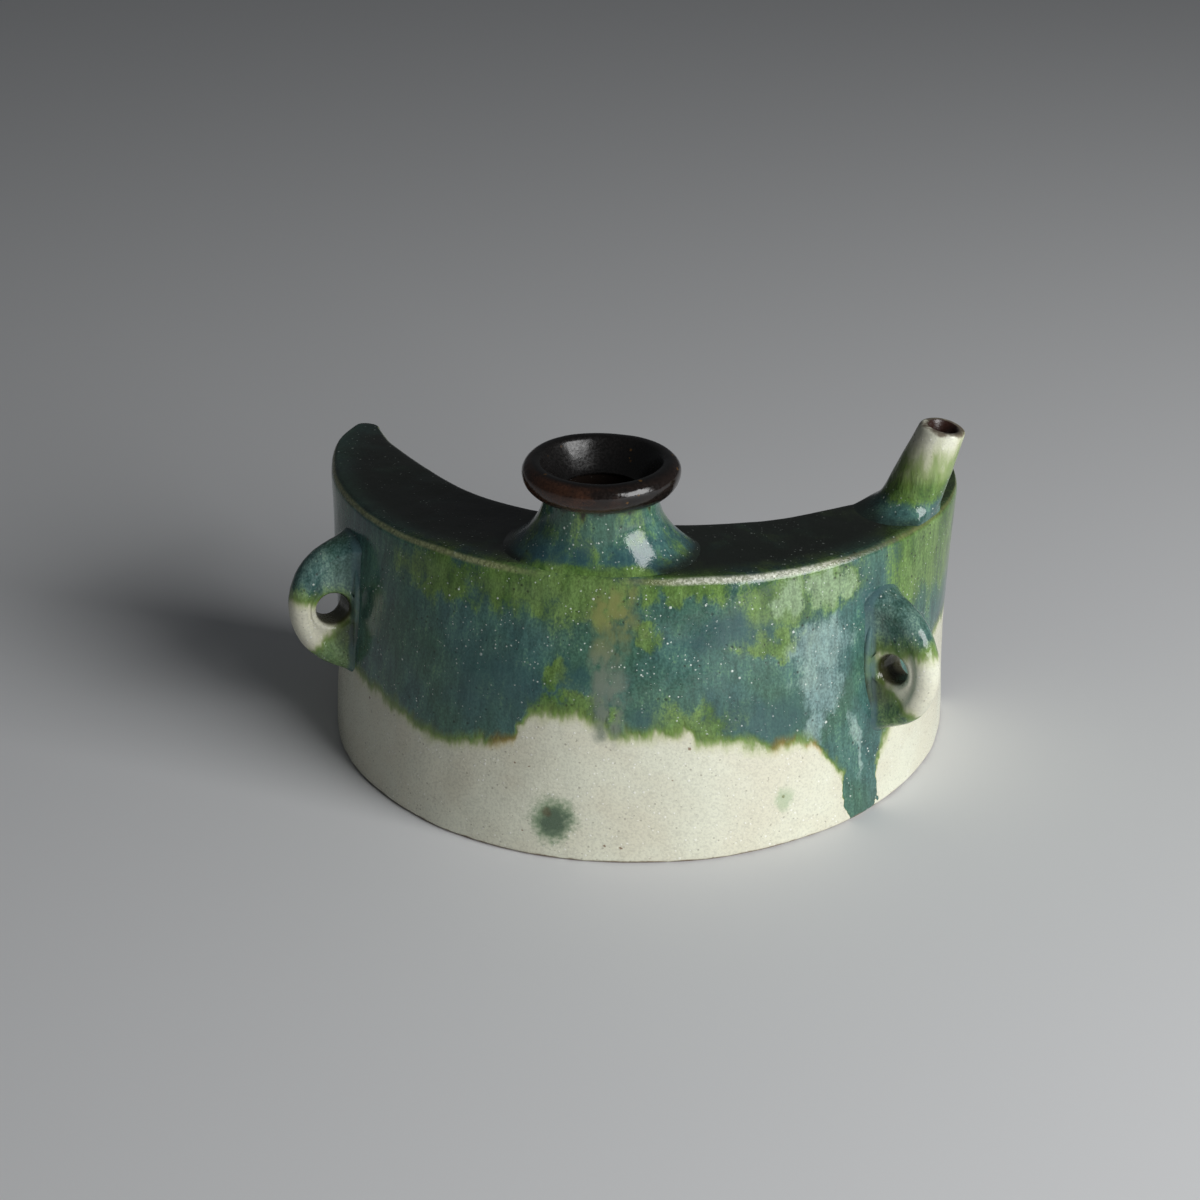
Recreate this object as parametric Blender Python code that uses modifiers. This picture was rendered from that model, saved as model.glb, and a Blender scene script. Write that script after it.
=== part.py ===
"""Crescent hip flask in slab-built, glazed stoneware.

A crescent base slab carries a bulging front wall and a hollow back wall, which meet in two narrow tips.
A crescent top slab closes the body. A thrown neck with a rolled mouth ring stands at its middle,
a small pouring spout stands at its right tip, and two pierced lugs on the front wall take a carrying cord.
The origin is under the middle of the flask, on the surface that it stands on. The bulge faces -Y.
"""

import math

import bmesh
import bpy
from mathutils import Matrix, Vector

# Body, in metres
HEIGHT = 0.084
HALF_WIDTH = 0.100
DEPTH = 0.089
TOP_FULLNESS = 1.90
BASE_FULLNESS = 2.00
BASE_TUCK = 0.001
BASE_SWELL = 0.015
BASE_FORWARD = 0.0035
TIP_BACK = 0.014
TIP_IN = 0.0018
TIP_WIDTH = 0.0042
HIP_DEPTH = 0.047

# Slabs and the slip seam between any two pieces
WALL = 0.006
TOP_SLAB = 0.006
BASE_SLAB = 0.007
SEAM = 0.0003
SHOULDER_ROUND = 0.0018
FOOT_ROUND = 0.0012
TIP_ROUND_STEPS = 4

# Neck and mouth
NECK_RISE = 0.0155
NECK_WAIST = 0.0172
NECK_BORE = 0.0125
NECK_FLARE = 1.9
NECK_FOOT_WIDTH = 0.0270
NECK_FOOT_EDGE = 0.0024
NECK_FOOT_LIP = 0.0006
NECK_SPIGOT_WALL = 0.0030
MOUTH_RADIUS = 0.0233
MOUTH_HEIGHT = 0.0124
MOUTH_ROLL = 0.0042
MOUTH_CREST_TURN = math.radians(130)
MOUTH_BOWL = 1.4

# Pouring spout
SPOUT_FROM_END = 0.0152
SPOUT_FORWARD = 0.0215
SPOUT_LEAN = 0.0098
SPOUT_RISE = 0.0274
SPOUT_TIP_RADIUS = 0.0070
SPOUT_FOOT_RADIUS = 0.0125
SPOUT_FLARE = 2.5
SPOUT_BORE = 0.0040
SPOUT_FOOT_LIP = 0.0006

# Cord lugs
LUG_ANGLE = math.radians(57.5)
LEFT_LUG_LEVEL = 0.0510
RIGHT_LUG_LEVEL = 0.0470
LUG_REACH = 0.0198
LUG_HALF_HEIGHT = 0.0220
LUG_THICKNESS = 0.0088
LUG_ROUND = 0.0034
LUG_HOLE = 0.0047
LUG_HOLE_LIP = 0.0023
LUG_HOLE_OUT = 0.0076
LUG_SINK = 0.0100

# Facets
BELLY_STEPS = 56
TAIL_STEPS = 3
HIP_STEPS = 44
ROUND_STEPS = 40
FLARE_STEPS = 8
ROLL_STEPS = 8
BOWL_STEPS = 5
LUG_STEPS = 20
CUT_PAST = 0.004

# Glaze colours, as red, green and blue
GREEN_GLAZE = (0.075, 0.160, 0.120)
IRON_GLAZE = (0.030, 0.014, 0.010)
PALE_SLIP = (0.560, 0.530, 0.420)

WALL_FOOT = BASE_SLAB + SEAM
WALL_HEAD = HEIGHT - TOP_SLAB - SEAM
NECK_Y = -(DEPTH + HIP_DEPTH) / 2
SPOUT_FOOT_X = HALF_WIDTH - SPOUT_FROM_END
SPOUT_FOOT_Y = -SPOUT_FORWARD
BODY_FRONT = -(DEPTH + BASE_SWELL + BASE_FORWARD)
BODY_BACK = TIP_BACK + TIP_WIDTH / 2


def make_material(name, colour, roughness):
    material = bpy.data.materials.new(name)
    material.use_nodes = True
    shader = material.node_tree.nodes["Principled BSDF"]
    shader.inputs["Base Color"].default_value = (*colour, 1.0)
    shader.inputs["Roughness"].default_value = roughness
    shader.inputs["Metallic"].default_value = 0.0
    return material


def add_object(name, mesh, collection, parent):
    piece = bpy.data.objects.new(name, mesh)
    collection.objects.link(piece)
    piece.parent = parent
    return piece


def finish(piece, material):
    piece.data.materials.append(material)
    piece.data.shade_smooth()
    piece.data.set_sharp_from_angle(angle=math.radians(35))
    return piece


def cut(piece, cutter):
    boolean = piece.modifiers.new("cut_" + cutter.name, "BOOLEAN")
    boolean.operation = "DIFFERENCE"
    boolean.object = cutter


def hide(cutter):
    cutter.hide_render = True
    cutter.display_type = "WIRE"
    return cutter


def lathe(name, profile, collection, parent):
    """Turns a closed profile of (radius, height) points about the Z axis."""
    shape = bmesh.new()
    corners = [shape.verts.new((radius, 0, height)) for radius, height in profile]
    for here, following in zip(corners, corners[1:] + corners[:1]):
        shape.edges.new((here, following))
    mesh = bpy.data.meshes.new(name)
    shape.to_mesh(mesh)
    shape.free()
    piece = add_object(name, mesh, collection, parent)
    screw = piece.modifiers.new("turn", "SCREW")
    screw.angle = math.tau
    screw.steps = screw.render_steps = ROUND_STEPS
    screw.use_merge_vertices = True
    screw.merge_threshold = 0.00001
    screw.use_smooth_shade = True
    return piece


def loft(name, sections):
    """A closed body through sections of (outline, height), lowest first, counter-clockwise from above."""
    shape = bmesh.new()
    loops = [[shape.verts.new((x, y, height)) for x, y in outline] for outline, height in sections]
    shape.faces.new(reversed(loops[0]))
    shape.faces.new(loops[-1])
    for under, over in zip(loops, loops[1:]):
        for i in range(len(under)):
            j = (i + 1) % len(under)
            shape.faces.new((under[i], under[j], over[j], over[i]))
    mesh = bpy.data.meshes.new(name)
    shape.to_mesh(mesh)
    shape.free()
    return mesh


def circle(radius):
    turns = [math.tau * i / ROUND_STEPS for i in range(ROUND_STEPS)]
    return [Vector((radius * math.cos(turn), radius * math.sin(turn))) for turn in turns]


def loft_tube(name, rings):
    """A closed tube wall through rings of (centre, X radius, Y radius): down its outside and up its bore."""
    shape = bmesh.new()
    turns = [math.tau * i / ROUND_STEPS for i in range(ROUND_STEPS)]
    loops = [
        [shape.verts.new(centre + Vector((wide * math.cos(a), deep * math.sin(a), 0))) for a in turns]
        for centre, wide, deep in rings
    ]
    for loop, following in zip(loops, loops[1:] + loops[:1]):
        for i in range(ROUND_STEPS):
            j = (i + 1) % ROUND_STEPS
            shape.faces.new((loop[i], following[i], following[j], loop[j]))
    mesh = bpy.data.meshes.new(name)
    shape.to_mesh(mesh)
    shape.free()
    return mesh


def round_edges(piece, width, keep):
    """Rounds the sharp edges whose two ends pass the test keep."""
    shape = bmesh.new()
    shape.from_mesh(piece.data)
    weight = shape.edges.layers.float.new("bevel_weight_edge")
    for edge in shape.edges:
        sharp = edge.calc_face_angle(0) > math.radians(50)
        edge[weight] = float(sharp and all(keep(corner.co) for corner in edge.verts))
    shape.to_mesh(piece.data)
    shape.free()
    bevel = piece.modifiers.new("round", "BEVEL")
    bevel.limit_method = "WEIGHT"
    bevel.width = width
    bevel.segments = 3


def mix(low, high, height):
    return low + (high - low) * height / HEIGHT


def half_width(height):
    return mix(HALF_WIDTH - BASE_TUCK, HALF_WIDTH, height)


def belly_line(height, inset=0.0, past=0.0):
    """The front wall's outer face at one height, from the left tip, moved in by inset and run on by past."""
    wide = half_width(height)
    deep = mix(DEPTH + BASE_SWELL, DEPTH, height)
    power = 2 / mix(BASE_FULLNESS, TOP_FULLNESS, height)
    middle = mix(-BASE_FORWARD, 0.0, height)
    right = []
    for i in range(BELLY_STEPS // 2 + 1):
        turn = math.pi / 2 * i / (BELLY_STEPS // 2)
        across = wide * math.sin(turn) ** power
        right.append(Vector((across, middle - deep * max(math.cos(turn), 0.0) ** power)))
    for i in range(1, TAIL_STEPS + 1):
        share = i / TAIL_STEPS
        right.append(Vector((wide - TIP_IN * share**2, middle + (TIP_BACK - middle) * share)))
    right[-1] += (right[-1] - right[-2]).normalized() * past
    line = [Vector((-point.x, point.y)) for point in reversed(right[1:])] + right
    moved = []
    for i, point in enumerate(line):
        along = line[min(i + 1, len(line) - 1)] - line[max(i - 1, 0)]
        along.normalize()
        moved.append(point + Vector((-along.y, along.x)) * inset)
    return moved


def hip_circle(height):
    """Centre depth and radius of the back wall's outer face, through both tips and the hip hollow."""
    half = half_width(height) - TIP_IN - TIP_WIDTH
    sag = TIP_BACK + HIP_DEPTH
    radius = (half**2 + sag**2) / (2 * sag)
    return radius - HIP_DEPTH, radius, half


def hip_line(height, inset=0.0):
    """The back wall's outer face at one height, right tip to left tip, moved into the clay by inset."""
    centre, radius, half = hip_circle(height)
    reach = math.asin(half / radius)
    turns = [reach - 2 * reach * i / HIP_STEPS for i in range(HIP_STEPS + 1)]
    deep = radius + inset
    return [Vector((deep * math.sin(turn), centre - deep * math.cos(turn))) for turn in turns]


def tip_cap(start, end):
    """Points of the half-round end between two corners, without the corners."""
    middle, arm = (start + end) / 2, (start - end) / 2
    side = Vector((-arm.y, arm.x))
    turns = [math.pi * i / TIP_ROUND_STEPS for i in range(1, TIP_ROUND_STEPS)]
    return [middle + arm * math.cos(turn) + side * math.sin(turn) for turn in turns]


def crescent(height):
    """The whole plan at one height, counter-clockwise from the left tip along the bulge."""
    belly, hip = belly_line(height), hip_line(height)
    return belly + tip_cap(belly[-1], hip[0]) + hip + tip_cap(hip[-1], belly[0])


def belly_strip(height, outer, inner, past=0.0):
    """The plan of a strip between two insets of the bulge."""
    return belly_line(height, outer, past) + list(reversed(belly_line(height, inner, past)))


def make_base_slab(collection, parent):
    mesh = loft("base_slab", [(crescent(z), z) for z in (0.0, BASE_SLAB)])
    piece = add_object("base_slab", mesh, collection, parent)
    round_edges(piece, FOOT_ROUND, lambda corner: corner.z < BASE_SLAB / 2)
    return piece


def make_front_wall(collection, cutters, parent):
    """The outer WALL of the whole crescent, so that it runs out into both tips."""
    mesh = loft("front_wall", [(crescent(z), z) for z in (WALL_FOOT, WALL_HEAD)])
    piece = add_object("front_wall", mesh, collection, parent)
    behind = TIP_BACK + TIP_WIDTH + CUT_PAST
    corners = [Vector((HALF_WIDTH, behind)), Vector((-HALF_WIDTH, behind))]
    heights = (WALL_FOOT - CUT_PAST, WALL_HEAD + CUT_PAST)
    mesh = loft("chamber_space", [(belly_line(z, WALL, CUT_PAST) + corners, z) for z in heights])
    cut(piece, hide(add_object("chamber_space", mesh, cutters, parent)))
    return piece


def make_back_wall(collection, cutters, parent):
    """A strip along the hip hollow, bevelled at both ends against the inside of the front wall."""
    strips = [(hip_line(z) + list(reversed(hip_line(z, WALL))), z) for z in (WALL_FOOT, WALL_HEAD)]
    piece = add_object("back_wall", loft("back_wall", strips), collection, parent)
    heights = (WALL_FOOT - CUT_PAST, WALL_HEAD + CUT_PAST)
    strips = [(belly_strip(z, -CUT_PAST, WALL + SEAM, CUT_PAST), z) for z in heights]
    mesh = loft("front_wall_space", strips)
    cut(piece, hide(add_object("front_wall_space", mesh, cutters, parent)))
    return piece


def make_top_slab(collection, cutters, parent):
    mesh = loft("top_slab", [(crescent(z), z) for z in (HEIGHT - TOP_SLAB, HEIGHT)])
    piece = add_object("top_slab", mesh, collection, parent)
    round_edges(piece, SHOULDER_ROUND, lambda corner: corner.z > HEIGHT - TOP_SLAB / 2)
    holes = {
        "neck_hole": (0.0, NECK_Y, NECK_BORE + NECK_SPIGOT_WALL + SEAM),
        "spout_hole": (SPOUT_FOOT_X, SPOUT_FOOT_Y, SPOUT_BORE),
    }
    for name, (x, y, radius) in holes.items():
        mesh = loft(name, [(circle(radius), z) for z in (-TOP_SLAB - CUT_PAST, CUT_PAST)])
        cutter = hide(add_object(name, mesh, cutters, parent))
        cutter.location = (x, y, HEIGHT)
        cut(piece, cutter)
    return piece


def make_neck_collar(collection, parent):
    """The thrown neck: round at its waist, spread along the crescent at its foot, on a spigot in the slab."""
    foot_deep = (DEPTH - HIP_DEPTH) / 2 - NECK_FOOT_EDGE
    rings = []
    for i in range(FLARE_STEPS + 1):
        share = i / FLARE_STEPS
        flare = share**NECK_FLARE
        level = NECK_RISE + (SEAM + NECK_FOOT_LIP - NECK_RISE) * share
        wide = NECK_WAIST + (NECK_FOOT_WIDTH - NECK_WAIST) * flare
        deep = NECK_WAIST + (foot_deep - NECK_WAIST) * flare
        rings.append((Vector((0, 0, level)), wide, deep))
    spigot = NECK_BORE + NECK_SPIGOT_WALL
    rings.append((Vector((0, 0, SEAM)), NECK_FOOT_WIDTH, foot_deep))
    rings.append((Vector((0, 0, SEAM)), spigot, spigot))
    rings.append((Vector((0, 0, -TOP_SLAB)), spigot, spigot))
    rings.append((Vector((0, 0, -TOP_SLAB)), NECK_BORE, NECK_BORE))
    rings.append((Vector((0, 0, NECK_RISE)), NECK_BORE, NECK_BORE))
    piece = add_object("neck_collar", loft_tube("neck_collar", rings), collection, parent)
    piece.location = (0, NECK_Y, HEIGHT)
    return piece


def make_mouth_ring(collection, parent):
    """The rolled rim: a round crest, an undercut down to the neck and a bowl down to the bore."""
    widest = MOUTH_HEIGHT - MOUTH_ROLL
    crest = [MOUTH_CREST_TURN * (1 - i / ROLL_STEPS) for i in range(ROLL_STEPS + 1)]
    undercut = [-math.pi / 2 * i / ROLL_STEPS for i in range(1, ROLL_STEPS + 1)]
    profile = []
    for turn in crest:
        inward = MOUTH_ROLL * (1 - math.cos(turn))
        profile.append((MOUTH_RADIUS - inward, widest + MOUTH_ROLL * math.sin(turn)))
    for turn in undercut:
        overhang = (MOUTH_RADIUS - NECK_WAIST) * math.cos(turn)
        profile.append((NECK_WAIST + overhang, widest * (1 + math.sin(turn))))
    bowl_radius, bowl_height = profile[0]
    for i in range(BOWL_STEPS):
        share = i / BOWL_STEPS
        radius = NECK_BORE + (bowl_radius - NECK_BORE) * share
        profile.append((radius, bowl_height * share**MOUTH_BOWL))
    piece = lathe("mouth_ring", profile, collection, parent)
    piece.location = (0, NECK_Y, HEIGHT + NECK_RISE + SEAM)
    return piece


def make_pouring_spout(collection, parent):
    """The leaning spout: a plain tube at its cut tip, flared at its foot on the top slab."""
    foot = Vector((0, 0, SEAM))
    tip = Vector((SPOUT_LEAN, 0, SPOUT_RISE))
    rings = []
    for i in range(FLARE_STEPS + 1):
        share = i / FLARE_STEPS
        radius = SPOUT_TIP_RADIUS + (SPOUT_FOOT_RADIUS - SPOUT_TIP_RADIUS) * share**SPOUT_FLARE
        along = share * (1 - SPOUT_FOOT_LIP / SPOUT_RISE)
        rings.append((tip.lerp(foot, along), radius, radius))
    rings.append((foot, SPOUT_FOOT_RADIUS, SPOUT_FOOT_RADIUS))
    rings.append((foot, SPOUT_BORE, SPOUT_BORE))
    rings.append((tip, SPOUT_BORE, SPOUT_BORE))
    piece = add_object("pouring_spout", loft_tube("pouring_spout", rings), collection, parent)
    piece.location = (SPOUT_FOOT_X, SPOUT_FOOT_Y, HEIGHT)
    return piece


def lug_frame(side, level):
    """Where a lug stands: local X points out of the wall, local Y up and local Z along the wall."""
    line = belly_line(level)
    middle = len(line) // 2
    place = middle + side * round(LUG_ANGLE / (math.pi / BELLY_STEPS))
    along = (line[place + 1] - line[place - 1]).normalized()
    out = Vector((along.y, -along.x, 0))
    up = Vector((0, 0, 1))
    turn = Matrix((out, up, out.cross(up))).transposed().to_4x4()
    return Matrix.Translation((*line[place], level)) @ turn


def make_lug(name, side, level, collection, cutters, parent):
    """A half-round ear, pierced for a cord, with its root shaped to the front wall."""
    turns = [math.pi * i / LUG_STEPS - math.pi / 2 for i in range(LUG_STEPS + 1)]
    ear = [Vector((LUG_REACH * math.cos(turn), LUG_HALF_HEIGHT * math.sin(turn))) for turn in turns]
    root = [Vector((-LUG_SINK, LUG_HALF_HEIGHT)), Vector((-LUG_SINK, -LUG_HALF_HEIGHT))]
    mesh = loft(name, [(ear + root, z) for z in (-LUG_THICKNESS / 2, LUG_THICKNESS / 2)])
    piece = add_object(name, mesh, collection, parent)
    round_edges(piece, LUG_ROUND, lambda corner: corner.x > -LUG_SINK / 2)
    piece.matrix_local = lug_frame(side, level)

    throat, past = LUG_THICKNESS / 2 - LUG_HOLE_LIP, LUG_HOLE_LIP + CUT_PAST
    spool = [
        (circle(LUG_HOLE + past), -throat - past),
        (circle(LUG_HOLE), -throat),
        (circle(LUG_HOLE), throat),
        (circle(LUG_HOLE + past), throat + past),
    ]
    mesh = loft(name + "_hole", spool)
    hole = hide(add_object(name + "_hole", mesh, cutters, parent))
    hole.matrix_local = lug_frame(side, level) @ Matrix.Translation((LUG_HOLE_OUT, 0, 0))
    cut(piece, hole)

    heights = (level - LUG_HALF_HEIGHT - CUT_PAST, level + LUG_HALF_HEIGHT + CUT_PAST)
    strips = [(belly_strip(z, -SEAM, LUG_SINK + CUT_PAST), z) for z in heights]
    mesh = loft(name + "_seat", strips)
    cut(piece, hide(add_object(name + "_seat", mesh, cutters, parent)))
    return piece


def main():
    for old in list(bpy.data.objects):
        bpy.data.objects.remove(old)
    collection = bpy.data.collections.new("crescent_flask")
    cutters = bpy.data.collections.new("crescent_flask_cutters")
    for group in (collection, cutters):
        bpy.context.scene.collection.children.link(group)
    flask = bpy.data.objects.new("crescent_flask", None)
    collection.objects.link(flask)
    flask.location = (0, -(BODY_FRONT + BODY_BACK) / 2, 0)

    green = make_material("green_ash_glaze", GREEN_GLAZE, 0.15)
    iron = make_material("iron_brown_glaze", IRON_GLAZE, 0.12)
    pale = make_material("pale_slip", PALE_SLIP, 0.45)

    finish(make_base_slab(collection, flask), pale)
    finish(make_front_wall(collection, cutters, flask), green)
    finish(make_back_wall(collection, cutters, flask), green)
    finish(make_top_slab(collection, cutters, flask), green)
    finish(make_neck_collar(collection, flask), green)
    finish(make_mouth_ring(collection, flask), iron)
    finish(make_pouring_spout(collection, flask), green)
    finish(make_lug("left_lug", -1, LEFT_LUG_LEVEL, collection, cutters, flask), green)
    finish(make_lug("right_lug", 1, RIGHT_LUG_LEVEL, collection, cutters, flask), green)


main()
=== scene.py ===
import math

import bmesh
import bpy
import numpy as np
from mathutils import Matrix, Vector, noise


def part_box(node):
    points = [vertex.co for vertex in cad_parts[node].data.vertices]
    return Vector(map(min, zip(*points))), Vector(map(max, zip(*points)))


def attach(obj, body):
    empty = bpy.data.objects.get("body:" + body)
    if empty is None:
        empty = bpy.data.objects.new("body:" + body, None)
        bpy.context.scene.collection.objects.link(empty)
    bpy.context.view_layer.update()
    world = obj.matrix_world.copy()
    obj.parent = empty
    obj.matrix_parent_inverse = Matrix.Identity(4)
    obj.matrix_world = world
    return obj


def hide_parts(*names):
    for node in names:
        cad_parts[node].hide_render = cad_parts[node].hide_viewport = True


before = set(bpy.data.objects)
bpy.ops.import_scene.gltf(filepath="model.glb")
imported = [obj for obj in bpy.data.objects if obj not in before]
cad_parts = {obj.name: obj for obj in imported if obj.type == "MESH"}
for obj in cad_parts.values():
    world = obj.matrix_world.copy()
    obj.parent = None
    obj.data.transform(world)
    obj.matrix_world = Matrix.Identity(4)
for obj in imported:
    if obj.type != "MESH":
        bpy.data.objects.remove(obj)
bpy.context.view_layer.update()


# Base slab
# The crescent floor that the flask stands on, cut from a rolled slab of sandy stoneware. It is coated in
# cream slip with one run of green glaze down to its edge, and its foot is a thin line of bare clay.

BASE_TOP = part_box("base_slab")[1].z
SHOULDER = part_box("top_slab")[1].z
SHOULDER_MM = SHOULDER * 1000
HALF_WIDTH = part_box("top_slab")[1].x
BASE_TUCK = 0.001
PINCH = 0.0013
TOP_DEPTH = 0.089
BASE_SWELL = 0.015
TOP_FULLNESS = 1.90
BASE_FULLNESS = 2.00
BASE_FORWARD = 0.0035
TIP_BACK = 0.0140
TIP_IN = 0.0018
TIP_WIDTH = 0.0042
TIP_KEEP = 0.4
TIP_FADE = 24
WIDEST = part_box("base_slab")[1].y - TIP_BACK - TIP_WIDTH / 2
HIP_DEPTH = 0.047
HIP_TIP_FADE = 0.16
HIP_FULL = 0.0050
HIP_FULL_AT = -0.80
HIP_FULL_SPREAD = (0.50, 0.36)
HIP_LEFT_SHORT = 0.03
FOOT_ROUND = 0.0016
BELLY_STEPS = 176
TAIL_STEPS = 8
TIP_STEPS = 8
BASE_ROWS = 10
CREASE = math.radians(50)
WOBBLES = ((0.040, 0.00060), (0.014, 0.00022), (0.005, 0.00006))
WOBBLE_SEED = 3
SETTLED = 0.006

noise.seed_set(WOBBLE_SEED)


def part_way(low, high, height):
    """What goes evenly from low at the table to high at the shoulder, at one height."""
    return low + (high - low) * height / SHOULDER


def half_width(height):
    """Half the flask's width at one height, pinched a little between the base and the lid."""
    pinch = PINCH * math.sin(math.pi * height / SHOULDER)
    return part_way(HALF_WIDTH - BASE_TUCK, HALF_WIDTH, height) - pinch


def belly_line(height, inset=0.0, tip_keep=TIP_KEEP):
    """The bulging face at one height, left tip to right tip, moved into the clay by inset."""
    wide = half_width(height)
    deep = part_way(TOP_DEPTH + BASE_SWELL, TOP_DEPTH, height)
    power = 2 / part_way(BASE_FULLNESS, TOP_FULLNESS, height)
    middle = part_way(WIDEST - BASE_FORWARD, WIDEST, height)
    turn = np.linspace(0, math.pi / 2, BELLY_STEPS // 2 + 1)
    share = np.linspace(0, 1, TAIL_STEPS + 1)[1:]
    x = np.concatenate((wide * np.sin(turn) ** power, wide - TIP_IN * share**2))
    y = middle - deep * np.clip(np.cos(turn), 0, 1) ** power
    y = np.concatenate((y, middle + (WIDEST + TIP_BACK - middle) * share))
    line = np.column_stack((np.concatenate((-x[:0:-1], x)), np.concatenate((y[:0:-1], y))))
    along = np.gradient(line, axis=0)
    along /= np.linalg.norm(along, axis=1)[:, None]
    count = np.arange(len(line))
    tips = np.clip(np.minimum(count, count[::-1]) / TIP_FADE, tip_keep, 1)
    return line + (inset * tips)[:, None] * np.column_stack((-along[:, 1], along[:, 0]))


def hip_line(height, inset=0.0):
    """The hollow face at one height, right tip to left tip, moved into the clay by inset.

    It is fuller on the left, where the tip is broad and round.
    """
    half = half_width(height) - TIP_IN - TIP_WIDTH
    sag = TIP_BACK + HIP_DEPTH
    radius = (half**2 + sag**2) / (2 * sag)
    reach = math.asin(half / radius)
    left = HIP_LEFT_SHORT - reach
    turn = np.linspace(reach, left, BELLY_STEPS + 2 * TAIL_STEPS + 1)
    centre = WIDEST - HIP_DEPTH + radius
    spread = np.where(turn < HIP_FULL_AT, *HIP_FULL_SPREAD)
    full = HIP_FULL * np.exp(-(((turn - HIP_FULL_AT) / spread) ** 2))
    deep = radius - full + inset * np.clip((reach - np.abs(turn)) / HIP_TIP_FADE, TIP_KEEP, 1)
    return np.column_stack((deep * np.sin(turn), centre - deep * np.cos(turn)))


def tip_round(start, end):
    """The half-round end of a tip, from one face to the other."""
    turn = np.linspace(0, math.pi, TIP_STEPS + 1)[1:-1, None]
    middle, arm = (start + end) / 2, (start - end) / 2
    side = np.array((-arm[1], arm[0])) * min(TIP_WIDTH / 2 / np.linalg.norm(arm), 1)
    return middle + arm * np.cos(turn) + side * np.sin(turn)


def strip_plan(front, back):
    """A closed plan from a front line, left to right, and a back line, right to left."""
    return front, tip_round(front[-1], back[0]), back, tip_round(back[-1], front[0])


def crescent_sections(profile):
    """Whole crescents and their heights, from (inset, height) steps."""
    sections = []
    for inset, height in profile:
        sections.append((strip_plan(belly_line(height, inset), hip_line(height, inset)), height))
    return sections


def rounded(radius, low, high, steps=6):
    """The (inset, height) steps of a quarter round, from an edge at height low to a face at height high."""
    turns = [math.pi / 2 * i / steps for i in range(steps + 1)]
    rise = 1 if high > low else -1
    return [(radius * (1 - math.cos(turn)), low + rise * radius * math.sin(turn)) for turn in turns]


def bridge(shape, loops, closed=False):
    """Quads between neighbouring loops of as many corners each."""
    following = loops[1:] + loops[:1] if closed else loops[1:]
    for loop, after in zip(loops, following):
        for i in range(len(loop)):
            j = (i + 1) % len(loop)
            shape.faces.new((loop[i], loop[j], after[j], after[i]))


def strip_solid(sections, rows):
    """A closed slab or wall through (plan, height) sections, its two flat faces filled in rows across."""
    shape = bmesh.new()
    loops = []
    for plan, height in sections:
        loops.append([shape.verts.new((x, y, height)) for x, y in np.concatenate(plan)])
    bridge(shape, loops)
    front_count, tip_count = len(sections[0][0][0]), len(sections[0][0][1])
    for loop in (loops[0], loops[-1]):
        front = loop[:front_count]
        right_tip = loop[front_count : front_count + tip_count]
        back = loop[front_count + tip_count : 2 * front_count + tip_count][::-1]
        left_tip = loop[2 * front_count + tip_count :]
        lines = [front]
        for row in range(1, rows):
            share = row / rows
            lines.append([shape.verts.new(a.co.lerp(b.co, share)) for a, b in zip(front, back)])
        lines.append(back)
        for line, after in zip(lines, lines[1:]):
            for i in range(front_count - 1):
                shape.faces.new((line[i], line[i + 1], after[i + 1], after[i]))
        if tip_count:
            shape.faces.new([line[-1] for line in lines[::-1]] + right_tip)
            shape.faces.new([line[0] for line in lines] + left_tip)
    return shape


def add_piece(name, shape):
    """A piece of the flask from a bmesh, worked out of true a little, as clay is by hand."""
    for corner in shape.verts:
        place = corner.co.copy()
        for length, swing in WOBBLES:
            corner.co += swing * noise.noise_vector(place / length)
        still = min(max(place.z / SETTLED, 0.0), 1.0)
        corner.co.z = place.z + (corner.co.z - place.z) * still
    bmesh.ops.recalc_face_normals(shape, faces=shape.faces)
    mesh = bpy.data.meshes.new(name)
    shape.to_mesh(mesh)
    shape.free()
    mesh.shade_smooth()
    mesh.set_sharp_from_angle(angle=CREASE)
    piece = bpy.data.objects.new(name, mesh)
    bpy.context.scene.collection.objects.link(piece)
    return piece


def add_node(kind, sockets, **settings):
    """A shader node beside those that feed it, with its settings made and its sockets set or linked."""
    tree = next(value.id_data for value in sockets.values() if isinstance(value, bpy.types.NodeSocket))
    made = tree.nodes.new("ShaderNode" + kind)
    for name, value in settings.items():
        setattr(made, name, value)
    for socket, value in sockets.items():
        if isinstance(value, bpy.types.NodeSocket):
            tree.links.new(value, made.inputs[socket])
        else:
            made.inputs[socket].default_value = value
    return made


def calc(operation, first, second=0.0, third=0.0):
    """One sum on sockets or numbers."""
    return add_node("Math", {0: first, 1: second, 2: third}, operation=operation).outputs[0]


def times(value, *factors):
    """A value multiplied by one factor after another."""
    for factor in factors:
        value = calc("MULTIPLY", value, factor)
    return value


def scaled(value, factor, start):
    """A value times a factor, counted from a start."""
    return calc("MULTIPLY_ADD", value, factor, start)


def distance(across, up):
    """How far two steps at right angles lead."""
    return calc("SQRT", calc("ADD", calc("POWER", across, 2), calc("POWER", up, 2)))


def vector_calc(operation, first, second=(0, 0, 0)):
    """One sum on vectors, with its outputs."""
    return add_node("VectorMath", {0: first, 1: second}, operation=operation).outputs


def ramp(value, start, end, low=0.0, high=1.0):
    """A smooth step of a value, from low at start to high at end."""
    sockets = {0: value, 1: start, 2: end, 3: low, 4: high}
    return add_node("MapRange", sockets, interpolation_type="SMOOTHSTEP").outputs[0]


def between(share, under, over):
    """One value or another, by a share."""
    return add_node("Mix", {0: share, 2: under, 3: over}).outputs[0]


def blend(share, under, over, mode="MIX"):
    """One colour laid over another by a share."""
    sockets = {0: share, 6: under, 7: over}
    return add_node("Mix", sockets, data_type="RGBA", blend_type=mode).outputs[2]


def tone(colour, value):
    """A colour made lighter or darker by a value about 1."""
    grey = add_node("CombineColor", {0: value, 1: value, 2: value}).outputs[0]
    return blend(1.0, colour, grey, "MULTIPLY")


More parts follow.
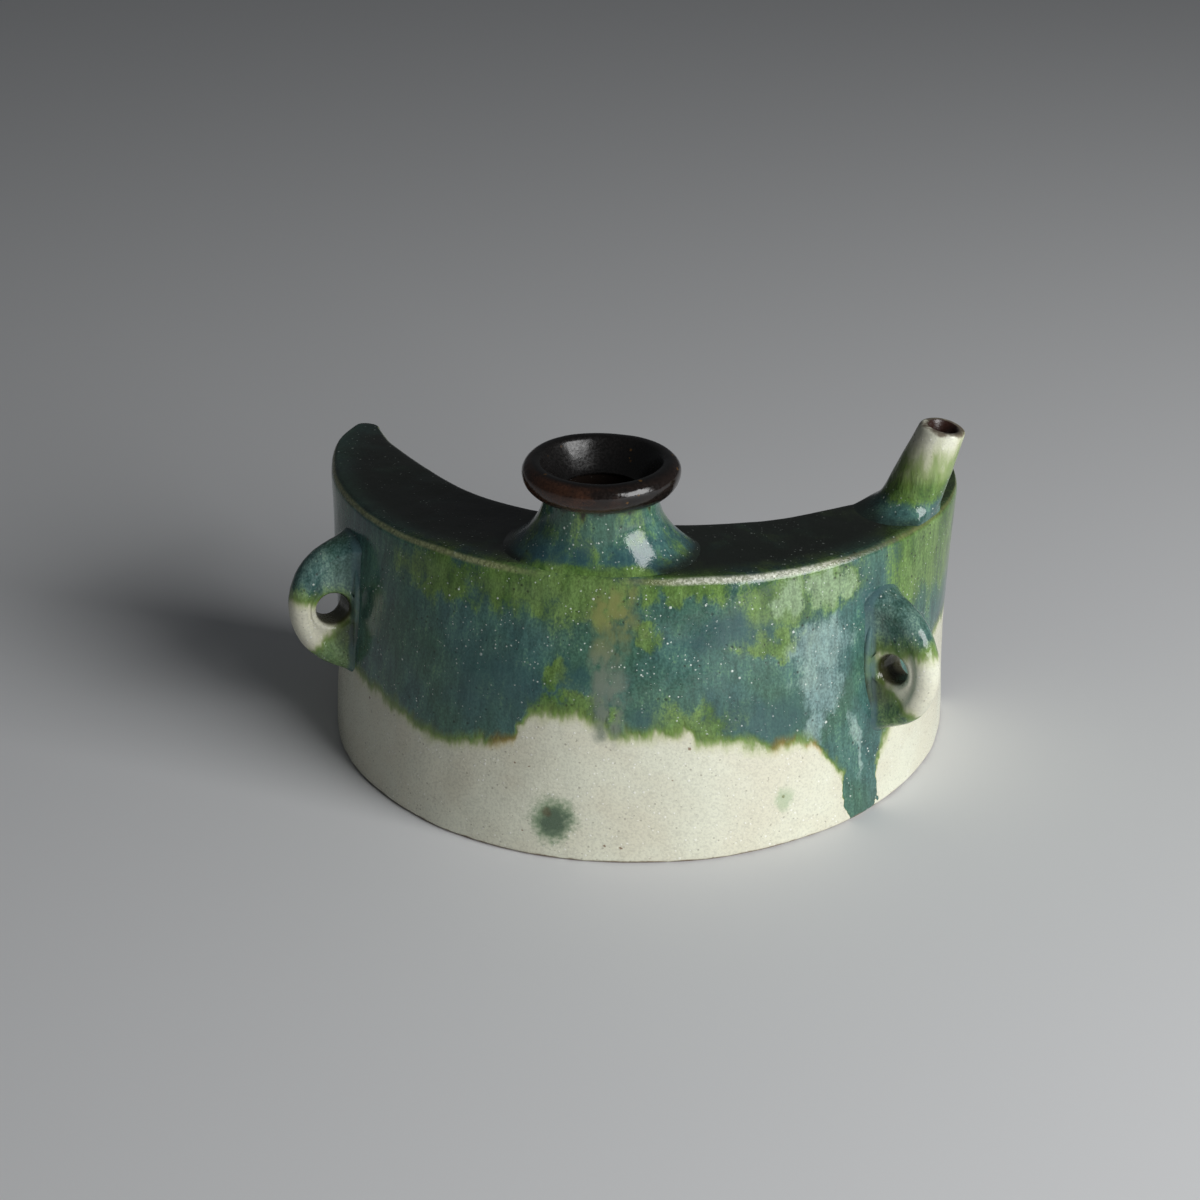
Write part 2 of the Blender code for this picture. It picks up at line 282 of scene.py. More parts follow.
def xyz(vector):
    """The three parts of a vector."""
    return add_node("SeparateXYZ", {0: vector}).outputs


def shifted(vector, shift):
    """The same vector, moved so that a second pattern doesn't repeat the first."""
    return vector_calc("ADD", vector, (shift, shift, shift))[0]


def clouds(vector, size, drawn_out=1.0, detail=3.0):
    """Noise about 0.5 whose features have one size in metres, drawn out in height."""
    scale = (1 / size, 1 / size, 1 / (size * drawn_out))
    small = add_node("Mapping", {"Vector": vector, "Scale": scale}).outputs[0]
    return add_node("TexNoise", {"Vector": small, "Scale": 1.0, "Detail": detail}).outputs[0]


def waver(vector, size, drawn_out=1.0, detail=3.0):
    """The same noise about 0."""
    return calc("SUBTRACT", clouds(vector, size, drawn_out, detail), 0.5)


def specks(vector, spacing, radius, share):
    """Crumbs in a share of the cells of one spacing, in metres, with their outlines pushed out of round."""
    small = add_node("Mapping", {"Vector": vector, "Scale": (1 / spacing,) * 3}).outputs[0]
    sockets = {"Vector": small, "Scale": spacing / radius, "Detail": 1.0}
    push = add_node("TexNoise", sockets).outputs["Color"]
    sockets = {0: push, 1: (1.6 * radius / spacing,) * 3, 2: small}
    pushed = add_node("VectorMath", sockets, operation="MULTIPLY_ADD").outputs[0]
    cells = add_node("TexVoronoi", {"Vector": pushed, "Scale": 1.0})
    lot = add_node("SeparateColor", {0: cells.outputs["Color"]}).outputs
    near = calc("DIVIDE", cells.outputs["Distance"], scaled(lot[1], 1.3, 0.35))
    dot = ramp(near, 1.3 * radius / spacing, 0.6 * radius / spacing)
    return times(dot, calc("LESS_THAN", lot[0], share))


def from_group(group, sockets):
    """What comes out of a node group, with its sockets set or linked."""
    return add_node("Group", sockets, node_tree=group).outputs


def new_group(name, inputs, outputs):
    """An empty node group with named sockets: its tree, what comes in and what goes out."""
    tree = bpy.data.node_groups.new(name, "ShaderNodeTree")
    for way, sockets in (("INPUT", inputs), ("OUTPUT", outputs)):
        for socket, kind in sockets.items():
            tree.interface.new_socket(socket, in_out=way, socket_type="NodeSocket" + kind)
    return tree, tree.nodes.new("NodeGroupInput").outputs, tree.nodes.new("NodeGroupOutput").inputs


def put_out(ends, results):
    """Links a group's results to its outputs."""
    for name, value in results.items():
        value.id_data.links.new(value, ends[name])


def make_place():
    """Where a point is: degrees round the bulge, millimetres up, nearness to the bulge, flow and point.

    The flow is the point unrolled along the wall, so that streaks follow the bulge.
    """
    outputs = {name: "Float" for name in ("Around", "Height", "Nearness")}
    tree, _, ends = new_group("place on the flask", {}, {**outputs, "Flow": "Vector", "Point": "Vector"})
    point = tree.nodes.new("ShaderNodeTexCoord").outputs["Object"]
    x, y, z = xyz(point)
    ahead = calc("SUBTRACT", WIDEST, y)
    turn = calc("ARCTAN2", x, ahead)
    nearness = distance(calc("DIVIDE", x, HALF_WIDTH), calc("DIVIDE", ahead, TOP_DEPTH))
    unrolled = {0: times(turn, TOP_DEPTH), 1: times(nearness, TOP_DEPTH), 2: z}
    results = {
        "Around": calc("DEGREES", turn),
        "Height": times(z, 1000),
        "Nearness": nearness,
        "Flow": add_node("CombineXYZ", unrolled).outputs[0],
        "Point": point,
    }
    put_out(ends, results)
    return tree


FINISH = {"Color": "Color", "Roughness": "Float", "Height": "Float"}
CREAM = (0.705, 0.715, 0.585, 1)
WARM_CREAM = (0.665, 0.650, 0.520, 1)
DARK_GRIT = (0.22, 0.20, 0.15, 1)
WHITE_GRIT = (0.88, 0.88, 0.82, 1)
IRON_FLECK = (0.16, 0.075, 0.03, 1)


def make_cream_slip():
    """Cream slip over sandy clay: fine grain, pale and dark grit and a few iron flecks."""
    tree, starts, ends = new_group("cream slip", {"Vector": "Vector"}, FINISH)
    point = starts["Vector"]
    sand = clouds(point, 0.0007)
    colour = blend(ramp(clouds(point, 0.020), 0.35, 0.65), CREAM, WARM_CREAM)
    colour = tone(colour, ramp(sand, 0.25, 0.75, 0.86, 1.10))
    grit = specks(point, 0.0013, 0.00019, 0.40)
    colour = blend(times(grit, 0.55), colour, DARK_GRIT)
    white = specks(shifted(point, 0.31), 0.0013, 0.00020, 0.5)
    colour = blend(times(white, 0.7), colour, WHITE_GRIT)
    fleck = specks(shifted(point, 0.77), 0.0042, 0.00034, 0.22)
    colour = blend(times(fleck, 0.8), colour, IRON_FLECK)
    bumps = scaled(white, 0.05, times(sand, 0.07))
    bumps = scaled(clouds(point, 0.006), 0.15, bumps)
    rough = ramp(sand, 0.3, 0.7, 0.42, 0.24)
    put_out(ends, {"Color": colour, "Roughness": rough, "Height": bumps})
    return tree


DEEP_TEAL = (0.044, 0.105, 0.100, 1)
PALE_TEAL = (0.078, 0.178, 0.155, 1)
GREEN_TEAL = (0.060, 0.138, 0.082, 1)
DEEP_OLIVE = (0.050, 0.114, 0.024, 1)
PALE_OLIVE = (0.130, 0.232, 0.056, 1)
GREY_OLIVE = (0.180, 0.270, 0.105, 1)
BLUE_MILK = (0.160, 0.258, 0.250, 1)
PALE_MILK = (0.235, 0.345, 0.310, 1)
GREEN_MILK = (0.225, 0.325, 0.180, 1)
# Near black: thick glaze with painted shade, on the lid's flat and the feet of the neck and spout.
THICK_GLAZE_AND_SHADE = (0.012, 0.016, 0.012, 1)
PINHOLE = (0.014, 0.018, 0.010, 1)
# Pale crystals, painted near white as glints as well.
CRYSTAL_AND_GLINT = (0.70, 0.77, 0.71, 1)


def make_ash_glaze():
    """Runny ash glaze in teal streaks with pale crystals, painted white as glints too, and pinholes.

    It is olive where Olive is 1, milky where Pale is, and near black where Dark is, as thick glaze with
    painted shade.
    """
    inputs = {"Vector": "Vector", "Olive": "Float", "Pale": "Float", "Dark": "Float"}
    tree, starts, ends = new_group("ash glaze", inputs, FINISH)
    point = starts["Vector"]
    hairs = ramp(clouds(point, 0.0014, 8), 0.30, 0.70)
    runs = ramp(clouds(point, 0.0050, 2.6, 4), 0.32, 0.68)
    pools = ramp(clouds(shifted(point, 0.23), 0.0150, 1.2, 4), 0.34, 0.66)
    grain = clouds(point, 0.0006, 1.4)
    teal = blend(runs, DEEP_TEAL, PALE_TEAL)
    teal = blend(times(pools, 0.65), teal, GREEN_TEAL)
    green = blend(runs, DEEP_OLIVE, PALE_OLIVE)
    green = blend(times(pools, 0.42), green, GREY_OLIVE)
    sway = scaled(hairs, 0.16, scaled(runs, 0.40, times(grain, 0.90)))
    sway = calc("SUBTRACT", sway, 0.73)
    olive = ramp(calc("ADD", starts["Olive"], sway), 0.10, 0.90)
    milk = blend(olive, blend(runs, BLUE_MILK, PALE_MILK), GREEN_MILK)
    milky = ramp(scaled(sway, 0.55, starts["Pale"]), 0.15, 0.95)
    colour = blend(milky, blend(olive, teal, green), milk)
    colour = tone(colour, ramp(hairs, 0.0, 1.0, 0.86, 1.12))
    # Near black where Dark is: thick glaze with painted shade.
    colour = blend(starts["Dark"], colour, THICK_GLAZE_AND_SHADE)
    colour = tone(colour, ramp(grain, 0.28, 0.72, 0.76, 1.24))
    pits = specks(shifted(point, 0.17), 0.0019, 0.00026, 0.40)
    colour = blend(times(pits, 0.65), colour, PINHOLE)
    sown = ramp(clouds(point, 0.0110), 0.40, 0.60)
    # Crystal specks: pale crystals, with their glints painted in as white.
    crystals_and_glints = times(specks(point, 0.0012, 0.00017, 0.55), sown)
    crystals_and_glints = calc("MAXIMUM", crystals_and_glints, specks(shifted(point, 0.53), 0.0032, 0.00026, 0.45))
    crystals_and_glints = times(crystals_and_glints, scaled(starts["Dark"], -0.75, 1.0))
    colour = blend(times(crystals_and_glints, 0.85), colour, CRYSTAL_AND_GLINT)
    bumps = times(hairs, 0.015)
    for relief, rise in ((grain, 0.035), (pools, 0.080), (crystals_and_glints, 0.060), (pits, -0.040)):
        bumps = scaled(relief, rise, bumps)
    rough = ramp(grain, 0.3, 0.7, 0.05, 0.14)
    put_out(ends, {"Color": colour, "Roughness": rough, "Height": bumps})
    return tree


GREEN_BLUSH = (0.50, 0.53, 0.29, 1)
AMBER_BLUSH = (0.50, 0.40, 0.14, 1)
GREEN_FRINGE = (0.150, 0.235, 0.050, 1)
AMBER_FRINGE = (0.190, 0.140, 0.024, 1)


def make_poured_skin():
    """Ash glaze poured over cream slip, by its depth in millimetres above the edge of the pour.

    Below 0 the slip is bare. Above it comes a feathered fringe, amber where Amber is 1, and then the glaze.
    """
    inputs = {name: "Float" for name in ("Depth", "Olive", "Pale", "Dark", "Amber")}
    tree, starts, ends = new_group("poured skin", {"Vector": "Vector", **inputs}, FINISH)
    point = starts["Vector"]
    slip = from_group(cream_slip, {"Vector": point})
    sockets = {name: starts[name] for name in ("Vector", "Olive", "Pale", "Dark")}
    glaze = from_group(ash_glaze, sockets)
    hairs = waver(point, 0.0010, 4.0, 4)
    ragged = scaled(waver(point, 0.0042, 2.5), 7.0, starts["Depth"])
    ragged = scaled(hairs, 2.4, ragged)
    blush = ramp(ragged, -3.2, 0.8)
    cover = ramp(ragged, -1.4, 1.6)
    thick = ramp(ragged, 0.4, 4.6)
    fringe = blend(starts["Amber"], GREEN_FRINGE, AMBER_FRINGE)
    fringe = tone(fringe, scaled(hairs, 1.4, 1.0))
    pale_fringe = blend(starts["Amber"], GREEN_BLUSH, AMBER_BLUSH)
    colour = blend(times(blush, 0.70), slip["Color"], pale_fringe)
    colour = blend(cover, colour, blend(thick, fringe, glaze["Color"]))
    rough = between(cover, slip["Roughness"], glaze["Roughness"])
    bumps = scaled(thick, 0.30, between(cover, slip["Height"], glaze["Height"]))
    put_out(ends, {"Color": colour, "Roughness": rough, "Height": bumps})
    return tree


place_on_flask = make_place()
cream_slip = make_cream_slip()
ash_glaze = make_ash_glaze()
poured_skin = make_poured_skin()

AROUND_SPAN = (-100, 100)
STRAY = 7
FOOT_OVERRUN = (8, 18)
# Degrees round the bulge, millimetres up.
GLAZE_LINE = (
    (-98, 34), (-60, 31), (-41, 30), (-29, 27), (-20, 29), (-13, 33), (-9, 41), (-4, 43), (1.5, 42),
    (6.6, 38), (11.6, 38), (16.7, 38.5), (20, 35), (27, 34), (32.4, 30), (38, 30), (42, 27), (44, 22),
    (47.4, 12), (48.4, 0), (54.2, 0), (55.2, 10), (57.5, 20), (62.5, 24), (77, 41), (85, 43), (98, 40),
)
# Degrees round, millimetres up, radius in millimetres, strength, stain.
SPOTS = (
    (-4.2, 11.7, 7.6, 0.80, (0.125, 0.235, 0.110, 1)),
    (-3.8, 11.4, 5.0, 0.75, (0.050, 0.085, 0.060, 1)),
    (-5.2, 14.0, 1.8, 0.60, (0.110, 0.080, 0.040, 1)),
    (34.7, 14.3, 4.0, 0.42, (0.190, 0.360, 0.150, 1)),
)
DEGREE_MM = math.radians(1) * (TOP_DEPTH + BASE_SWELL) * 1000
BARE_CLAY = (0.20, 0.145, 0.095, 1)
BARE_ROUGHNESS = 0.8
BULGING = (0.88, 0.96)
POUR_REACH = 20


def start_material(name):
    """A new material and, in it, the sockets of the place on the flask."""
    material = bpy.data.materials.new(name)
    material.use_nodes = True
    place = material.node_tree.nodes.new("ShaderNodeGroup")
    place.node_tree = place_on_flask
    return material, place.outputs


def drawn_line(value, span, top, points):
    """A line drawn through points of (value, height), read at a value."""
    low, high = span
    share = calc("DIVIDE", calc("SUBTRACT", value, low), high - low)
    drawn = add_node("FloatCurve", {"Value": share})
    curve = drawn.mapping.curves[0]
    for value_at, height in points:
        curve.points.new((value_at - low) / (high - low), height / top)
    curve.points[0].location = (0, points[0][1] / top)
    curve.points[-1].location = (1, points[-1][1] / top)
    for point in curve.points:
        point.handle_type = "AUTO_CLAMPED"
    drawn.mapping.update()
    return times(drawn.outputs[0], top)


def poured_depth(place, points):
    """How far a point lies above the drawn edge of a pour, and the sideways drift of the glaze there.

    Where the edge comes down near the table, it runs on over the foot.
    """
    drift = waver(place["Flow"], 0.0070, 1.3, 5)
    strayed = scaled(drift, STRAY, place["Around"])
    line = drawn_line(strayed, AROUND_SPAN, SHOULDER_MM, points)
    low, overrun = FOOT_OVERRUN
    line = calc("SUBTRACT", line, ramp(line, low, 0, 0, overrun))
    return calc("SUBTRACT", place["Height"], line), drift


def add_spots(place, drift, colour):
    """The splash and the dab of glaze that fell on the slip below the pour."""
    around = scaled(drift, 4, place["Around"])
    crumble = waver(place["Flow"], 0.0014, detail=4)
    for around_at, height_at, radius, strength, stain in SPOTS:
        across = times(calc("SUBTRACT", around, around_at), DEGREE_MM)
        up = calc("SUBTRACT", place["Height"], height_at)
        far = scaled(crumble, 0.9, calc("DIVIDE", distance(across, up), radius))
        colour = blend(times(ramp(far, 1.20, 0.45), strength), colour, stain)
    return colour


def dress(piece, material, colour, roughness, height):
    """Links the finished colour, roughness and relief, in millimetres, and puts the material on a piece."""
    tree = material.node_tree
    shader = tree.nodes["Principled BSDF"]
    bump = add_node("Bump", {"Height": height, "Distance": 0.001, "Strength": 1.0})
    tree.links.new(colour, shader.inputs["Base Color"])
    tree.links.new(roughness, shader.inputs["Roughness"])
    tree.links.new(bump.outputs[0], shader.inputs["Normal"])
    piece.data.materials.append(material)


foot = rounded(FOOT_ROUND, FOOT_ROUND, 0.0)[::-1]
base_sections = crescent_sections(foot + [(0.0, BASE_TOP)])
base_slab = add_piece("base_slab_slip", strip_solid(base_sections, BASE_ROWS))
material, place = start_material("slipped_base")
depth, drift = poured_depth(place, GLAZE_LINE)
bulging = ramp(place["Nearness"], *BULGING)
depth = calc("MINIMUM", depth, scaled(bulging, 2 * POUR_REACH, -POUR_REACH))
skin = from_group(poured_skin, {"Vector": place["Flow"], "Depth": depth})
grime = times(clouds(place["Flow"], 0.004), 1.6)
bare = ramp(calc("SUBTRACT", place["Height"], grime), 0.3, -0.5)
colour = blend(bulging, skin["Color"], add_spots(place, drift, skin["Color"]))
colour = blend(bare, colour, BARE_CLAY)
rough = between(bare, skin["Roughness"], BARE_ROUGHNESS)
dress(base_slab, material, colour, rough, skin["Height"])
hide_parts("base_slab")
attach(base_slab, "root")


# Front wall
# One rolled slab bent round the base and closed over both tips, with its lower edge leaning out.
# Green ash glaze was poured over its upper half and ran down in tongues over the cream slip.

WALL_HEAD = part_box("top_slab")[0].z
WALL_ROWS = 40
NECK_Y = WIDEST - (TOP_DEPTH + HIP_DEPTH) / 2
# Each patch: degrees round, millimetres up, and its reach in both.
OLIVE_PATCHES = (
    (-14, 79, 12, 8), (0, 79, 10, 9), (18, 82, 10, 5), (36, 75, 7, 9), (46, 77, 7, 7), (34, 62, 6, 3.5),
    (10, 67, 3, 3), (20, 42, 7, 5), (-3, 45, 8, 4), (-5, 54, 2.5, 4), (-30, 77, 9, 7),
)
PALE_PATCHES = (
    (37, 75, 3, 5), (43.5, 58, 5.5, 9), (43, 44, 5, 9), (42, 33, 3, 5), (46, 76, 5, 5), (50.6, 24, 0.9, 9),
)
BLUE_PATCHES = (
    (32, 38, 7, 6), (-1.3, 55, 2, 4), (26, 68, 7, 4), (55, 66, 3, 12), (-18, 50, 8, 12), (12, 40, 4, 5),
)
TAN_PATCHES = ((5.2, 74, 4, 7), (4.2, 55, 2.6, 12), (4.6, 43, 2.4, 6))
AMBER_PATCHES = ((-14, 33, 4, 4), (33, 33, 1.5, 4), (41, 29, 1.8, 3))
NECK_FRONT = (-2, SHOULDER_MM, 11, 9)
BLUE_POOL = (0.034, 0.088, 0.102, 1)
GREY_TAN = (0.170, 0.205, 0.160, 1)
OCHRE = (0.225, 0.240, 0.085, 1)
WORN_GREEN = (0.300, 0.320, 0.165, 1)
WORN_BROWN = (0.150, 0.115, 0.060, 1)
# Painted highlight along the lid's rounded edge.
PAINTED_EDGE_HIGHLIGHT = (0.80, 0.80, 0.71, 1)
WORN_CRUMB = (0.10, 0.12, 0.05, 1)


def wall_inside(height):
    """The inside of the front wall, swung at both tips to the ends of the back wall."""
    line = belly_line(height, TIP_WIDTH, 1.0)
    ends = hip_line(height)
    near_left = np.clip(1 - np.arange(len(line)) / TIP_FADE, 0, 1)[:, None]
    return line + near_left * (ends[-1] - line[0]) + near_left[::-1] * (ends[0] - line[-1])


def make_patch():
    """A soft round patch on the wall, by its middle and its reach in degrees and millimetres."""
    names = ("Around", "Height", "Middle around", "Middle height", "Reach around", "Reach height")
    tree, starts, ends = new_group("glaze patch", {name: "Float" for name in names}, {"Mask": "Float"})
    across = calc("SUBTRACT", starts["Around"], starts["Middle around"])
    across = calc("DIVIDE", across, starts["Reach around"])
    up = calc("SUBTRACT", starts["Height"], starts["Middle height"])
    up = calc("DIVIDE", up, starts["Reach height"])
    put_out(ends, {"Mask": ramp(distance(across, up), 1.7, 0.3)})
    return tree


glaze_patch = make_patch()


def patches_mask(around, height, patches):
    """The most of several patches of (around, height, reach around, reach height)."""
    mask = 0.0
    for around_at, height_at, wide, tall in patches:
        sockets = {0: around, 1: height, 2: around_at, 3: height_at, 4: wide, 5: tall}
        mask = calc("MAXIMUM", from_group(glaze_patch, sockets)[0], mask)
    return mask


def loose_place(place, drift):
    """The degrees and the height of a point, strayed by the flow of the glaze."""
    sag = waver(shifted(place["Flow"], 0.4), 0.0050, 1.6, 5)
    return scaled(drift, 11, place["Around"]), scaled(sag, 18, place["Height"])


def lid_dark_glaze_and_shade(place, flat):
    """How near black the glaze is, as thick glaze with painted shade: most on the lid's flat, less before
    the neck and at the edge.
    """
    cloudy = ramp(clouds(place["Flow"], 0.012), 0.2, 0.5, 0.86, 1.0)
    front = ramp(xyz(place["Point"])[1], NECK_Y - 0.0150, NECK_Y - 0.0178)
    edge = ramp(place["Nearness"], 0.88, 0.99, 1.0, 0.72)
    return times(flat, cloudy, scaled(front, -0.9, 1.0), edge)


def worn_edge_and_highlight(place, upward, colour):
    """The lid's edge rubbed to sandy green and brown by the spout, painted white on the right as a
    highlight, and its crumbs.
    """
    around = place["Around"]
    crumbs = ramp(clouds(place["Flow"], 0.0009, detail=4), 0.38, 0.62)
    wear_and_highlight = blend(ramp(around, 40, 50), WORN_GREEN, WORN_BROWN)
    # Painted highlight: the rounded edge whitened between 12 and 52 degrees round.
    edge_highlight = times(ramp(around, 12, 20), ramp(around, 52, 42), 0.8)
    wear_and_highlight = blend(edge_highlight, wear_and_highlight, PAINTED_EDGE_HIGHLIGHT)
    wear_and_highlight = blend(times(crumbs, 0.6), wear_and_highlight, WORN_CRUMB)
    neck_front = patches_mask(around, place["Height"], (NECK_FRONT,))
    rim = times(ramp(upward, 0.30, 0.58), ramp(upward, 0.92, 0.72))
    rim = times(rim, scaled(neck_front, -0.9, 0.85), ramp(around, 42, 56, 1.0, 0.55))
    return blend(rim, colour, wear_and_highlight), times(rim, crumbs)


def wall_glaze(piece, name):
    """The poured glaze of the front wall and the lid."""
    material, place = start_material(name)
    flow = place["Flow"]
    depth, drift = poured_depth(place, GLAZE_LINE)
    loose = loose_place(place, drift)
    ends_olive = times(ramp(loose[1], 48, 72), ramp(place["Around"], 56, 66))
    facing = material.node_tree.nodes.new("ShaderNodeNewGeometry").outputs["Normal"]
    upward = xyz(facing)[2]
    flat = ramp(upward, 0.55, 0.95)
    sockets = {
        "Vector": flow,
        "Depth": depth,
        "Olive": calc("MAXIMUM", patches_mask(*loose, OLIVE_PATCHES), ends_olive),
        "Pale": patches_mask(*loose, PALE_PATCHES),
        # The lid's flat near black: thick glaze with painted shade.
        "Dark": lid_dark_glaze_and_shade(place, flat),
        "Amber": patches_mask(*loose, AMBER_PATCHES),
    }
    skin = from_group(poured_skin, sockets)
    wall = calc("SUBTRACT", 1.0, flat)
    well_in = ramp(depth, 1.0, 5.0, 0.0, 0.6)
    blue = times(patches_mask(*loose, BLUE_PATCHES), wall, well_in)
    colour = blend(blue, skin["Color"], BLUE_POOL)
    broken = ramp(clouds(shifted(flow, 0.9), 0.0035, 1.4, 4), 0.30, 0.55)
    tan = times(patches_mask(*loose, TAN_PATCHES), wall, broken, 0.85)
    colour = blend(tan, colour, blend(ramp(place["Height"], 56, 70), GREY_TAN, OCHRE))
    colour = add_spots(place, drift, colour)
    colour, crumbs = worn_edge_and_highlight(place, upward, colour)
    relief = scaled(crumbs, 0.15, skin["Height"])
    dress(piece, material, colour, skin["Roughness"], relief)


front_sections = []
for height in np.linspace(BASE_TOP, WALL_HEAD, WALL_ROWS + 1):
    front_sections.append((strip_plan(belly_line(height), wall_inside(height)[::-1]), height))
front_wall = add_piece("front_wall_glaze", strip_solid(front_sections, rows=1))
wall_glaze(front_wall, "poured_front")
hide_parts("front_wall")
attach(front_wall, "root")


# Back wall
# The hollow slab that lies against the hip, bevelled and luted inside the front wall at both tips.
# It took the same pour, which stopped in a wavy line half-way down.

WALL = 0.0060
HIP_LINE = ((-98, 34), (-60, 40), (-30, 33), (-8, 37), (10, 28), (30, 36), (58, 41), (98, 40))
HIP_PATCHES = ((-35, 60, 9, 7), (8, 52, 10, 8), (40, 66, 12, 6))
HIP_MILK = ((-12, 48, 8, 9), (55, 52, 8, 10))
NO_TIP = np.zeros((0, 2))

back_sections = []
for height in np.linspace(BASE_TOP, WALL_HEAD, WALL_ROWS + 1):
    back_sections.append(((hip_line(height, WALL)[::-1], NO_TIP, hip_line(height), NO_TIP), height))
back_wall = add_piece("back_wall_glaze", strip_solid(back_sections, rows=1))
material, place = start_material("poured_back")
depth, drift = poured_depth(place, HIP_LINE)
loose = loose_place(place, drift)
olive = patches_mask(*loose, HIP_PATCHES)
sockets = {
    "Vector": place["Flow"],
    "Depth": depth,
    "Olive": calc("MAXIMUM", ramp(loose[1], 66, 80), olive),
    "Pale": patches_mask(*loose, HIP_MILK),
}
skin = from_group(poured_skin, sockets)
dress(back_wall, material, skin["Color"], skin["Roughness"], skin["Height"])
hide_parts("back_wall")
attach(back_wall, "root")


# Top slab
# The crescent lid, laid on the walls, trimmed flush with them and wiped round at its edge.
# The glaze is thick and near black on its flat, with painted shade; its edge is rubbed thin and sandy, with
# a painted highlight on the right.

SHOULDER_ROUND = 0.0027
LID_ROWS = 18
NECK_BORE = 0.0125
SPOUT_FOOT_X = HALF_WIDTH - 0.0126
SPOUT_Y = WIDEST - 0.0215
SPOUT_BORE = 0.0040
HOLE_GAP = 0.0005
HOLE_STEPS = 64
DRILL_LENGTH = 0.04


def pierce(piece, x, y, radius):
    """Cuts a round hole down through a piece, and fans out the many-sided faces that the cut leaves."""
    shape = bmesh.new()
    sizes = {"radius1": radius, "radius2": radius, "depth": DRILL_LENGTH}
    bmesh.ops.create_cone(shape, cap_ends=True, segments=HOLE_STEPS, **sizes)
    bmesh.ops.translate(shape, verts=shape.verts, vec=(x, y, SHOULDER))
    drill_mesh = bpy.data.meshes.new("drill")
    shape.to_mesh(drill_mesh)
    shape.free()
    drill = bpy.data.objects.new("drill", drill_mesh)
    bpy.context.scene.collection.objects.link(drill)
    hole = piece.modifiers.new("hole", "BOOLEAN")
    hole.operation = "DIFFERENCE"
    hole.object = drill
    bpy.context.view_layer.update()
    cut_mesh = bpy.data.meshes.new_from_object(piece.evaluated_get(bpy.context.evaluated_depsgraph_get()))
    shape = bmesh.new()
    shape.from_mesh(cut_mesh)
    bmesh.ops.poke(shape, faces=[face for face in shape.faces if len(face.verts) > 4])
    shape.to_mesh(cut_mesh)
    shape.free()
    piece.modifiers.remove(hole)
    piece.data = cut_mesh
    bpy.data.objects.remove(drill)


lid_edge = rounded(SHOULDER_ROUND, SHOULDER - SHOULDER_ROUND, SHOULDER)
lid_sections = crescent_sections([(0.0, WALL_HEAD)] + lid_edge)
top_slab = add_piece("top_slab_glaze", strip_solid(lid_sections, LID_ROWS))
pierce(top_slab, 0, NECK_Y, NECK_BORE + HOLE_GAP)
pierce(top_slab, SPOUT_FOOT_X, SPOUT_Y, SPOUT_BORE + HOLE_GAP)
wall_glaze(top_slab, "poured_lid")
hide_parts("top_slab")
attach(top_slab, "root")


# Neck collar
# The thrown neck, waisted under the mouth ring and spread at its foot until it runs out into the lid.
# Its glaze is streaked green and teal, with blue pooled round the foot and iron runs from the ring above.

NECK_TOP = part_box("neck_collar")[1].z
NECK_UNDER_RING = NECK_TOP + 0.0029
NECK_WAIST = 0.0172
NECK_FLARE = 1.75
NECK_FOOT_WIDE = 0.0320
NECK_FOOT_DEEP = (TOP_DEPTH - HIP_DEPTH) / 2 - 0.0006
NECK_FOOT_SINK = 0.0014
NECK_FOOT_FULL = 0.25
NECK_ROWS = 30
NECK_CROWDING = 1.2
ROUND_STEPS = 96
NECK_POOL = (0.026, 0.074, 0.096, 1)
IRON_RUN = (0.022, 0.013, 0.009, 1)
DARK_BORE = (0.014, 0.010, 0.008, 1)


def tube_solid(rings):
    """A closed tube, down its outside and up its bore, through rings.

    A ring is (centre, X radius, Y radius, tilt, fullness).
    """
    shape = bmesh.new()
    turns = [math.tau * i / ROUND_STEPS for i in range(ROUND_STEPS)]
    loops = []
    for centre, wide, deep, tilt, full in rings:
        loop = []
        for turn in turns:
            across = wide * math.copysign(abs(math.cos(turn)) ** (1 / full), math.cos(turn))
            along = deep * math.copysign(abs(math.sin(turn)) ** (1 / full), math.sin(turn))
            loop.append(shape.verts.new(centre + Vector((across, along, tilt * across))))
        loops.append(loop)
    bridge(shape, loops, closed=True)
    return shape


def neck_ring(level, radius):
    """A round level ring about the middle of the neck."""
    return Vector((0, NECK_Y, level)), radius, radius, 0, 1


neck_rings = [neck_ring(NECK_UNDER_RING, NECK_WAIST)]
neck_foot = SHOULDER - NECK_FOOT_SINK
for i in range(NECK_ROWS + 1):
    share = i / NECK_ROWS
    level = neck_foot + (NECK_TOP + NECK_FOOT_SINK - SHOULDER) * (1 - share) ** NECK_CROWDING
    flare = share**NECK_FLARE
    wide = NECK_WAIST + (NECK_FOOT_WIDE - NECK_WAIST) * flare
    deep = NECK_WAIST + (NECK_FOOT_DEEP - NECK_WAIST) * flare
    neck_rings.append((Vector((0, NECK_Y, level)), wide, deep, 0, 1 + NECK_FOOT_FULL * flare))
for level in (WALL_HEAD, SHOULDER, NECK_UNDER_RING):
    neck_rings.append(neck_ring(level, NECK_BORE))
neck_collar = add_piece("neck_collar_glaze", tube_solid(neck_rings))
material, place = start_material("streaked_neck")
point = place["Point"]
x, y, _ = xyz(point)
height = place["Height"]
front = ramp(y, NECK_Y - 0.0140, NECK_Y - 0.0180)
foot_low = ramp(height, SHOULDER_MM + 4.5, SHOULDER_MM + 0.6)
foot_edge = ramp(height, SHOULDER_MM + 4.0, SHOULDER_MM + 1.4)
green = times(ramp(clouds(point, 0.0060, 1.8, 4), 0.38, 0.62), 0.55)
sockets = {
    "Vector": point,
    "Olive": calc("MAXIMUM", green, times(foot_edge, front)),
    "Dark": times(foot_low, calc("SUBTRACT", 1.0, front), 0.95),
}
glaze = from_group(ash_glaze, sockets)
